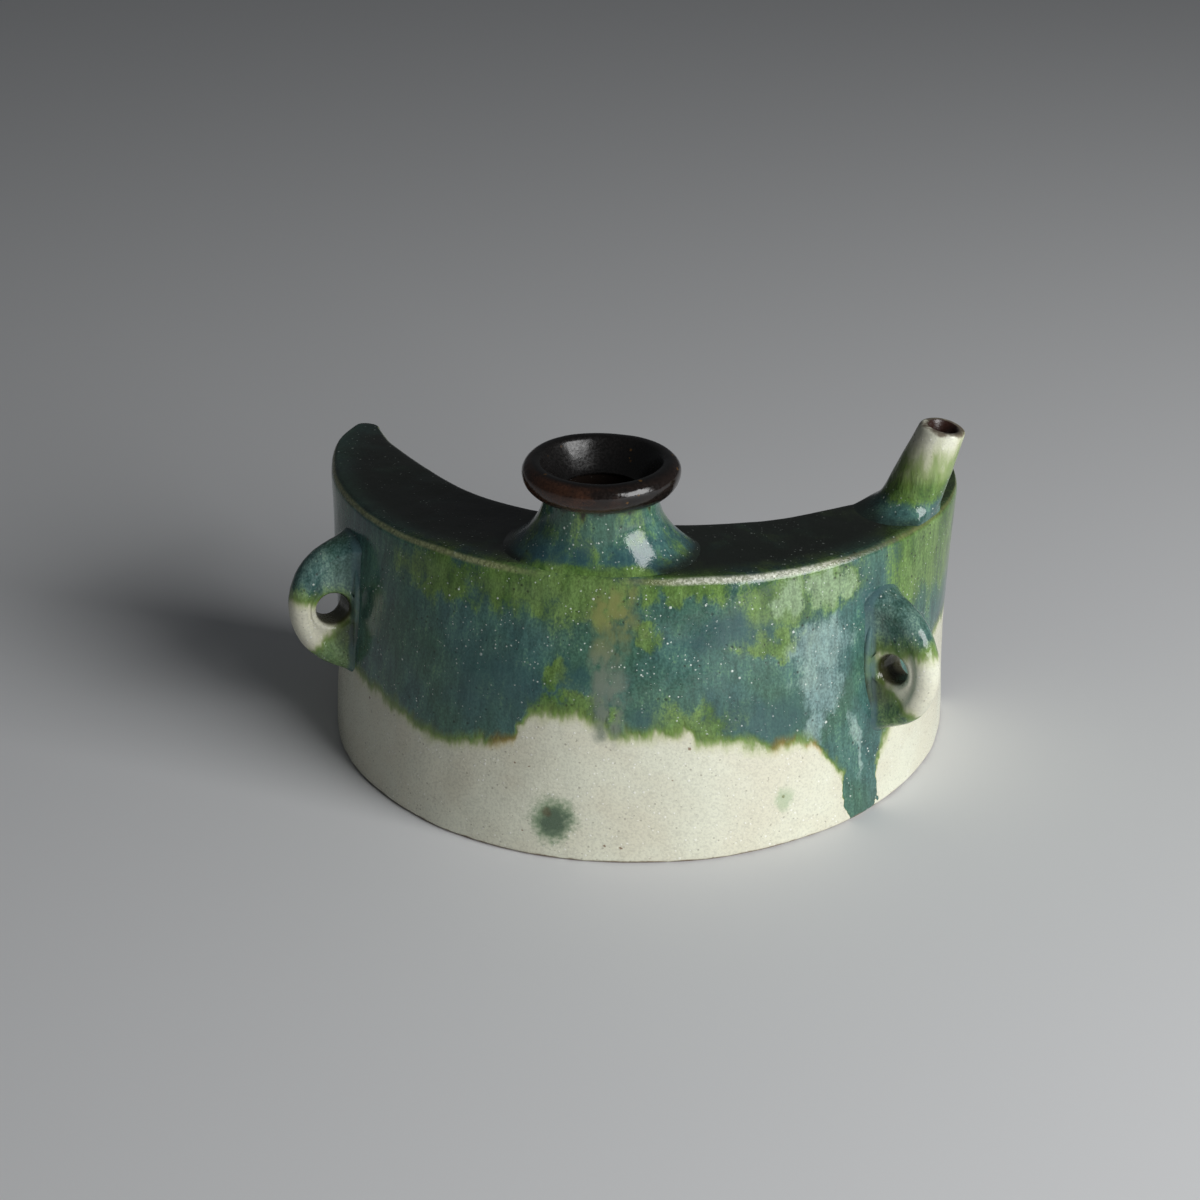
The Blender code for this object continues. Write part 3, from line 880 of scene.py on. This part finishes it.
pool = times(ramp(height, 96, 88), ramp(height, 84.5, 87.0))
pool = times(pool, ramp(clouds(point, 0.007, 0.8), 0.40, 0.60), 0.7)
colour = blend(pool, glaze["Color"], NECK_POOL)
drips = scaled(clouds(point, 0.0040, 5.0), 12, height)
colour = blend(times(ramp(drips, 106.5, 109.3), 0.9), colour, IRON_RUN)
off_axis = distance(x, calc("SUBTRACT", y, NECK_Y))
bore = ramp(off_axis, NECK_BORE + 0.0015, NECK_BORE + 0.0007)
colour = blend(bore, colour, DARK_BORE)
dress(neck_collar, material, colour, glaze["Roughness"], glaze["Height"])
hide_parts("neck_collar")
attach(neck_collar, "root")


# Mouth ring
# The rolled rim of the neck, dipped by itself in iron glaze, with a shallow bowl down to the bore.
# The glaze is near black where it lies thick and breaks red-brown where it ran thin over the roll.

MOUTH_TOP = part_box("mouth_ring")[1].z
MOUTH_FOOT = NECK_UNDER_RING
MOUTH_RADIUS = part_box("mouth_ring")[1].x
MOUTH_ROLL = 0.0036
MOUTH_WIDEST = MOUTH_TOP - MOUTH_ROLL
MOUTH_BORE = 0.0118
ROLL_OVER = math.radians(115)
ROLL_STEPS = 16
BOWL_FOOT = MOUTH_FOOT + 0.0004
BOWL_CURVE = 1.25
BOWL_STEPS = 14
IRON_BLACK = (0.0065, 0.0058, 0.0055, 1)
IRON_BROWN = (0.048, 0.021, 0.012, 1)
AMBER_SPECK = (0.17, 0.085, 0.02, 1)

mouth_profile = []
for i in range(ROLL_STEPS + 1):
    turn = ROLL_OVER * (1 - i / ROLL_STEPS)
    radius = MOUTH_RADIUS - MOUTH_ROLL * (1 - math.cos(turn))
    mouth_profile.append((MOUTH_WIDEST + MOUTH_ROLL * math.sin(turn), radius))
for i in range(1, ROLL_STEPS + 1):
    turn = math.pi / 2 * i / ROLL_STEPS
    radius = NECK_WAIST + (MOUTH_RADIUS - NECK_WAIST) * math.cos(turn)
    mouth_profile.append((MOUTH_WIDEST - (MOUTH_WIDEST - MOUTH_FOOT) * math.sin(turn), radius))
bowl_level, bowl_radius = mouth_profile[0]
mouth_profile.append((MOUTH_FOOT, MOUTH_BORE))
for i in range(BOWL_STEPS):
    share = i / BOWL_STEPS
    level = BOWL_FOOT + (bowl_level - BOWL_FOOT) * share**BOWL_CURVE
    mouth_profile.append((level, MOUTH_BORE + (bowl_radius - MOUTH_BORE) * share))
mouth_rings = [neck_ring(level, radius) for level, radius in mouth_profile]
mouth_ring = add_piece("mouth_ring_glaze", tube_solid(mouth_rings))
material, place = start_material("iron_ring")
point = place["Point"]
facing = material.node_tree.nodes.new("ShaderNodeNewGeometry").outputs["Normal"]
arm = vector_calc("SUBTRACT", point, (0, NECK_Y, MOUTH_TOP))[0]
arm = vector_calc("MULTIPLY", arm, (1, 1, 0))[0]
arm = vector_calc("NORMALIZE", arm)[0]
outside = vector_calc("DOT_PRODUCT", facing, arm)["Value"]
thin = ramp(xyz(point)[0], 0.014, -0.002, 0.12, 1.0)
broken = ramp(clouds(point, 0.010, 0.6, 5), 0.34, 0.54)
broken = times(scaled(broken, 0.85, 0.15), thin, ramp(outside, 0.05, 0.75))
fine = clouds(point, 0.0007)
colour = blend(broken, IRON_BLACK, IRON_BROWN)
colour = tone(colour, ramp(fine, 0.3, 0.7, 0.7, 1.3))
amber = specks(point, 0.0028, 0.00035, 0.35)
colour = blend(times(amber, 0.6), colour, AMBER_SPECK)
relief = scaled(clouds(point, 0.004), 0.16, times(fine, 0.025))
bowl_rough = ramp(outside, 0.0, -0.5, 0.0, 0.12)
rough = calc("ADD", ramp(fine, 0.3, 0.7, 0.09, 0.22), bowl_rough)
dress(mouth_ring, material, colour, rough, relief)
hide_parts("mouth_ring")
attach(mouth_ring, "root")


# Pouring spout
# A small tube rolled round a stick, leaned outwards and luted over a hole in the lid, with a slanting tip.
# Its foot is glazed with the lid, and its upper half is cream slip with a scuffed brown lip.

SPOUT_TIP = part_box("pouring_spout")[1].z
SPOUT_LEAN = 0.0078
SPOUT_TILT = -0.20
SPOUT_TIP_RADIUS = 0.0069
SPOUT_SWELL = 0.0004
SPOUT_SWELL_BY = 0.3
SPOUT_TAPER = 0.0025
SPOUT_SIDLE = 0.0019
SPOUT_FOOT_WIDE = 0.0033
SPOUT_FOOT_DEEP = 0.0060
SPOUT_FOOT_INWARD = 0.0027
SPOUT_FOOT_RISE = 0.0095
SPOUT_FOOT_SINK = 0.0003
SPOUT_FOOT_FOLLOW = 0.0040
SPOUT_FLARE = 4.5
SPOUT_EDGE_GAP = 0.0008
SPOUT_LIP = 0.0010
SPOUT_LIP_STEPS = 4
SPOUT_MOUTH_FLARE = 0.0008
SPOUT_ROWS = 34
SPOUT_CROWDING = 1.4
SPOUT_DIP = 102.0
GREEN_WASH = (0.270, 0.345, 0.150, 1)
SCUFFED_LIP = (0.075, 0.045, 0.025, 1)
BROWN_BORE = (0.030, 0.012, 0.008, 1)


def spout_ring(level, radius, spread=1.0):
    """One ring of the spout on its leaning middle line, spread at the lid and slanted at the tip."""
    up = (level - SHOULDER) / (SPOUT_TIP - SHOULDER)
    taper = spread * (1 - up)
    flare = spread * max(1 - (level - SHOULDER) / SPOUT_FOOT_RISE, 0) ** SPOUT_FLARE
    x = SPOUT_FOOT_X + SPOUT_LEAN * up - SPOUT_SIDLE * taper - SPOUT_FOOT_INWARD * flare
    wide = radius + SPOUT_TAPER * taper + SPOUT_FOOT_WIDE * flare
    deep = radius + SPOUT_SIDLE * taper + SPOUT_FOOT_DEEP * flare
    return Vector((x, SPOUT_Y, level)), wide, deep, SPOUT_TILT * max(up, 0) ** 2, 1


def keep_on_lid(shape):
    """Draws the foot of the spout back from the lid's edges and lets it follow their rounding down."""
    edge = np.concatenate((belly_line(SHOULDER), hip_line(SHOULDER)))
    inward = np.concatenate((belly_line(SHOULDER, 0.001), hip_line(SHOULDER, 0.001))) - edge
    inward /= np.linalg.norm(inward, axis=1)[:, None]
    for corner in shape.verts:
        place = np.array(corner.co[:2])
        nearest = int(np.argmin(np.linalg.norm(edge - place, axis=1)))
        inside = float(np.dot(place - edge[nearest], inward[nearest]))
        low = min(max(1 - (corner.co.z - SHOULDER) / SPOUT_FOOT_FOLLOW, 0), 1)
        kept = max(inside, SPOUT_EDGE_GAP)
        corner.co.xy = place + inward[nearest] * (kept - inside) * low
        short = max(SHOULDER_ROUND - kept, 0)
        corner.co.z -= low * (SHOULDER_ROUND - math.sqrt(SHOULDER_ROUND**2 - short**2))


spout_rings = []
for i in range(SPOUT_LIP_STEPS + 1):
    turn = math.pi / 2 * i / SPOUT_LIP_STEPS
    level = SPOUT_TIP - SPOUT_LIP * (1 - math.cos(turn))
    spout_rings.append(spout_ring(level, SPOUT_TIP_RADIUS - SPOUT_LIP * (1 - math.sin(turn))))
for i in range(1, SPOUT_ROWS + 1):
    share = i / SPOUT_ROWS
    rise = (1 - share) ** SPOUT_CROWDING
    level = SHOULDER - SPOUT_FOOT_SINK + (SPOUT_TIP - SPOUT_LIP - SHOULDER + SPOUT_FOOT_SINK) * rise
    swell = SPOUT_SWELL * min(share / SPOUT_SWELL_BY, 1)
    spout_rings.append(spout_ring(level, SPOUT_TIP_RADIUS + swell))
spout_bores = (
    (SHOULDER - 2 * SPOUT_FOOT_SINK, SPOUT_BORE),
    (SPOUT_TIP - SPOUT_LIP, SPOUT_BORE),
    (SPOUT_TIP, SPOUT_BORE + SPOUT_MOUTH_FLARE),
)
for level, bore in spout_bores:
    spout_rings.append(spout_ring(level, bore, 0.0))
shape = tube_solid(spout_rings)
keep_on_lid(shape)
pouring_spout = add_piece("pouring_spout_glaze", shape)
material, place = start_material("dipped_spout")
point = place["Point"]
x = xyz(point)[0]
height = place["Height"]
outer = ramp(x, SPOUT_FOOT_X + 0.011, SPOUT_FOOT_X + 0.015)
depth = times(calc("SUBTRACT", scaled(outer, 6.0, SPOUT_DIP), height), 0.40)
foot_low = ramp(height, SHOULDER_MM + 5.0, SHOULDER_MM + 0.5)
inner = ramp(x, SPOUT_FOOT_X - 0.004, SPOUT_FOOT_X - 0.011)
foot_edge = times(ramp(height, SHOULDER_MM + 2.4, SHOULDER_MM + 0.3), 0.7)
foot_edge = times(foot_edge, ramp(x, SPOUT_FOOT_X + 0.007, SPOUT_FOOT_X + 0.001))
sockets = {
    "Vector": point,
    "Depth": depth,
    "Olive": ramp(height, 86, 92),
    "Dark": calc("MAXIMUM", times(foot_low, inner, 0.9), foot_edge),
}
skin = from_group(poured_skin, sockets)
wash = times(ramp(height, 108, 101), ramp(height, 94, 98))
wash = times(wash, ramp(clouds(point, 0.003, 2.0, 4), 0.25, 0.70, 0.2, 0.8))
colour = blend(wash, skin["Color"], GREEN_WASH)
slant = scaled(x, -1000 * SPOUT_TILT, height)
lip_level = (SPOUT_TIP - SPOUT_TILT * (SPOUT_FOOT_X + SPOUT_LEAN)) * 1000
scuff = scaled(clouds(point, 0.0022, detail=4), 3.2, slant)
lip = ramp(scuff, lip_level + 0.4, lip_level + 1.6)
colour = blend(times(lip, 0.85), colour, SCUFFED_LIP)
foot_middle = (SPOUT_FOOT_X, SPOUT_Y, SHOULDER)
apart = vector_calc("SUBTRACT", point, foot_middle)[0]
apart_x, apart_y, apart_z = xyz(apart)
lean = times(apart_z, SPOUT_LEAN / (SPOUT_TIP - SHOULDER))
off_axis = distance(calc("SUBTRACT", apart_x, lean), apart_y)
bore = ramp(off_axis, SPOUT_BORE + 0.0014, SPOUT_BORE + 0.0006)
colour = blend(bore, colour, BROWN_BORE)
dress(pouring_spout, material, colour, skin["Roughness"], skin["Height"])
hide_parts("pouring_spout")
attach(pouring_spout, "root")


# Cord lugs
# Two half-round ears, pinched thick at the root, luted to the front wall and pierced for a carrying cord.
# Glaze covers their tops and undersides and pooled blue along the root, with cream slip left between.

# Each lug: name, side, height and radius of the hole, millimetres above it where the glaze starts.
LUGS = (("left_lug", -1, 0.0510, 0.0050, 0.5), ("right_lug", 1, 0.0470, 0.0045, 4.0))
LUG_ANGLE = math.radians(57.86)
LUG_REACH = 0.0195
LUG_HALF_HEIGHT = 0.0215
LUG_HALF_THICK = 0.0047
LUG_ROOT_TALLER = 0.10
LUG_ROOT_SPREAD = 0.0030
LUG_ROOT_FADE = 0.0030
LUG_SEAM_SPREAD = 0.0010
LUG_SEAM_FADE = 0.0009
LUG_WALL_FADE = 0.0045
LUG_SINK = 0.0030
LUG_HOLE_OUT = 0.0066
LUG_HOLE_LIP = 0.0019
LUG_LEAST_FACE = 0.0002
LUG_DISH = 0.12
LUG_STEPS = 96
LUG_CHORD = 6
LUG_TRACE = 0.0001
LIP_STEPS = 6
FACE_STEPS = 6
RIM_STEPS = 8
BEAD_RADIUS = 0.0013
BEAD_LEAST = 0.0001
BEAD_TAPER = 0.6
BEAD_OUT = 0.0080
BEAD_TOP = 0.98
BEAD_LENGTH = 1.85
BEAD_STEPS = 28
BEAD_ROUND = 12
BLUE_ROOT = (0.085, 0.165, 0.185, 1)
HOLE_SHADE = (0.040, 0.036, 0.018, 1)
ROOT_STAIN = (0.045, 0.042, 0.022, 1)


def lug_stand(side, level):
    """A lug's root on the wall, the ways out of and along the wall, and the wall's lean and bend there."""
    line = belly_line(level)
    turn_at = np.linspace(-math.pi / 2, math.pi / 2, BELLY_STEPS + 1)
    place = int(np.argmin(np.abs(turn_at - side * LUG_ANGLE))) + TAIL_STEPS
    along = Vector((*(line[place + 1] - line[place - 1]), 0)).normalized()
    out = Vector((along.y, -along.x, 0))
    over, under = belly_line(level + LUG_REACH)[place], belly_line(level - LUG_REACH)[place]
    lean = Vector((*(over - under), 0)).dot(out) / (2 * LUG_REACH)
    before, after = line[place - LUG_CHORD], line[place + LUG_CHORD]
    sag = Vector((*(line[place] - (before + after) / 2), 0)).dot(out)
    bend = sag / (np.linalg.norm(after - before) / 2) ** 2
    return Vector((*line[place], level)), out, along, lean, bend


def fade(out, length):
    """What is left, so far out of the wall, of something that dies away over a length."""
    return math.exp(-max(out, 0) / length)


def lug_reach(towards):
    """How far an ear reaches from the middle of its hole, one way across its face."""
    reach = 0.0
    while True:
        u, v = np.array((LUG_HOLE_OUT, 0)) + towards * (reach + LUG_TRACE)
        tall = LUG_HALF_HEIGHT * (1 + LUG_ROOT_TALLER * fade(u, LUG_ROOT_FADE))
        if u < -LUG_SINK or (max(u, 0) / LUG_REACH) ** 2 + (v / tall) ** 2 > 1:
            return reach
        reach += LUG_TRACE


def lug_section(reach, hole):
    """Half a cut through the ear, from the hole over its lip and face to the rim.

    Its points are (way out from the middle of the hole, half thickness).
    """
    section = [(hole, 0.0)]
    for j in range(LIP_STEPS + 1):
        bend = math.pi / 2 * j / LIP_STEPS
        lip = LUG_HOLE_LIP * (1 - math.cos(bend))
        section.append((hole + lip, LUG_HALF_THICK - LUG_HOLE_LIP * (1 - math.sin(bend))))
    start = hole + LUG_HOLE_LIP
    end = max(reach - LUG_HALF_THICK, start + LUG_LEAST_FACE)
    for j in range(1, FACE_STEPS):
        dish = 1 - LUG_DISH * math.sin(math.pi * j / FACE_STEPS)
        section.append((start + (end - start) * j / FACE_STEPS, LUG_HALF_THICK * dish))
    for j in range(RIM_STEPS + 1):
        bend = math.pi / 2 * j / RIM_STEPS
        section.append((end + (reach - end) * math.sin(bend), LUG_HALF_THICK * math.cos(bend)))
    return section


def lug_solid(stand, hole):
    """An ear round its cord hole: loops across the clay from the hole, over the rim and back."""
    root, out, along, lean, bend = stand
    shape = bmesh.new()
    loops = []
    for i in range(LUG_STEPS):
        turn = math.tau * i / LUG_STEPS
        towards = np.array((math.cos(turn), math.sin(turn)))
        section = lug_section(lug_reach(towards), hole)
        section += [(r, -w) for r, w in section[-2:0:-1]]
        corners = []
        for r, w in section:
            u, v = np.array((LUG_HOLE_OUT, 0)) + towards * r
            spread = LUG_ROOT_SPREAD * fade(u, LUG_ROOT_FADE)
            spread += LUG_SEAM_SPREAD * fade(u, LUG_SEAM_FADE)
            thick = w * (1 + spread / LUG_HALF_THICK)
            u += (lean * v - bend * thick**2) * fade(u, LUG_WALL_FADE)
            corners.append(shape.verts.new(root + out * u + Vector((0, 0, v)) + along * thick))
        loops.append(corners)
    bridge(shape, loops, closed=True)
    return shape


def add_bead(shape, stand, side):
    """The bead of slip pressed along the root of an ear, on the side that faces the bulge's middle."""
    root, out, along, lean, bend = stand
    turns = [math.tau * j / BEAD_ROUND for j in range(BEAD_ROUND)]
    rims = [out * math.cos(turn) + along * math.sin(turn) for turn in turns]
    loops = []
    for i in range(BEAD_STEPS + 1):
        share = i / BEAD_STEPS
        v = LUG_HALF_HEIGHT * (BEAD_TOP - BEAD_LENGTH * share)
        w = -side * BEAD_OUT * math.sqrt(1 - (v / LUG_HALF_HEIGHT) ** 2)
        centre = root + out * (lean * v - bend * w**2) + Vector((0, 0, v)) + along * w
        radius = max(BEAD_RADIUS * math.sin(math.pi * share) ** BEAD_TAPER, BEAD_LEAST)
        loops.append([shape.verts.new(centre + radius * rim) for rim in rims])
    bridge(shape, loops)
    shape.faces.new(loops[0])
    shape.faces.new(loops[-1])


def lug_glaze(piece, name, stand, level, hole, crown_foot):
    """Glaze over the crown, the root and the underside of an ear, with slip left between them."""
    root, out, _, lean, _ = stand
    material, place = start_material(name)
    point = place["Point"]
    apart = vector_calc("SUBTRACT", point, root)[0]
    away = vector_calc("DOT_PRODUCT", apart, out)["Value"]
    away = times(away, 1000)
    over = calc("SUBTRACT", place["Height"], level * 1000)
    from_wall = scaled(over, -lean, away)
    crown = calc("SUBTRACT", over, scaled(away, 0.15, crown_foot))
    root_pool = times(calc("SUBTRACT", 2.4, from_wall), 1.3)
    under = calc("SUBTRACT", times(over, -0.9), scaled(away, 0.8, 0.5))
    depth = calc("MAXIMUM", crown, calc("MAXIMUM", root_pool, under))
    olive = calc("MAXIMUM", ramp(crown, 9, 2), ramp(over, -6, -12))
    sockets = {"Vector": point, "Depth": depth, "Olive": times(olive, 0.7), "Pale": 0.38}
    skin = from_group(poured_skin, sockets)
    cloudy = ramp(clouds(point, 0.004), 0.3, 0.6, 0.55, 1.0)
    pool = times(ramp(from_wall, 2.2, 1.0), cloudy, 0.75)
    colour = blend(pool, skin["Color"], BLUE_ROOT)
    off_axis = distance(calc("SUBTRACT", away, LUG_HOLE_OUT * 1000), over)
    bore = times(ramp(off_axis, hole * 1000 + 0.9, hole * 1000 + 0.1), 0.9)
    colour = blend(bore, colour, HOLE_SHADE)
    stain = times(ramp(over, -2, -5), ramp(over, -15, -10), ramp(away, 9, 4), 0.50)
    colour = blend(stain, colour, ROOT_STAIN)
    dress(piece, material, colour, skin["Roughness"], skin["Height"])


for name, side, level, hole, crown_foot in LUGS:
    stand = lug_stand(side, level)
    shape = lug_solid(stand, hole)
    add_bead(shape, stand, side)
    lug = add_piece(name + "_glaze", shape)
    lug_glaze(lug, "poured_" + name, stand, level, hole, crown_foot)
    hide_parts(name)
    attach(lug, "root")


# Studio
# A plain pale floor, one broad soft window on the right and a faint fill from all round.
# The camera stands where the photograph was taken.

FLOOR_SIZE = 8.0
FLOOR_COLOUR = (0.78, 0.79, 0.80, 1)
FLOOR_ROUGHNESS = 0.8
FILL_COLOUR = (0.75, 0.78, 0.82, 1)
FILL_STRENGTH = 0.075
WINDOW_PLACE = Vector((1.02, -0.58, 0.53))
WINDOW_AIM = Vector((0, 0, 0.05))
WINDOW_SIZE = (0.9, 0.8)
WINDOW_POWER = 18
CAMERA_PLACE = Vector((0.12515, WIDEST - 0.71719, 0.38221))
CAMERA_LOOK = Vector((-0.17140, 0.88615, -0.43054))
CAMERA_SENSOR = 36
CAMERA_LENS = 74.07

bpy.ops.mesh.primitive_plane_add(size=FLOOR_SIZE, location=(0, 0, 0))
floor = bpy.context.object
floor.name = "floor"
floor_material = bpy.data.materials.new("pale_floor")
floor_material.use_nodes = True
floor_shader = floor_material.node_tree.nodes["Principled BSDF"]
floor_shader.inputs["Base Color"].default_value = FLOOR_COLOUR
floor_shader.inputs["Roughness"].default_value = FLOOR_ROUGHNESS
floor.data.materials.append(floor_material)

scene = bpy.context.scene
scene.view_settings.view_transform = "Standard"
world = bpy.data.worlds.new("studio")
world.use_nodes = True
fill = world.node_tree.nodes["Background"]
fill.inputs["Color"].default_value = FILL_COLOUR
fill.inputs["Strength"].default_value = FILL_STRENGTH
scene.world = world

window_lamp = bpy.data.lights.new("window", "AREA")
window_lamp.shape = "RECTANGLE"
window_lamp.size, window_lamp.size_y = WINDOW_SIZE
window_lamp.energy = WINDOW_POWER
window = bpy.data.objects.new("window", window_lamp)
window.location = WINDOW_PLACE
window.rotation_euler = (WINDOW_AIM - WINDOW_PLACE).to_track_quat("-Z", "Y").to_euler()
scene.collection.objects.link(window)

camera_data = bpy.data.cameras.new("camera")
camera_data.sensor_width = CAMERA_SENSOR
camera_data.lens = CAMERA_LENS
camera = bpy.data.objects.new("camera", camera_data)
camera.location = CAMERA_PLACE
camera.rotation_euler = CAMERA_LOOK.to_track_quat("-Z", "Y").to_euler()
scene.collection.objects.link(camera)
scene.camera = camera
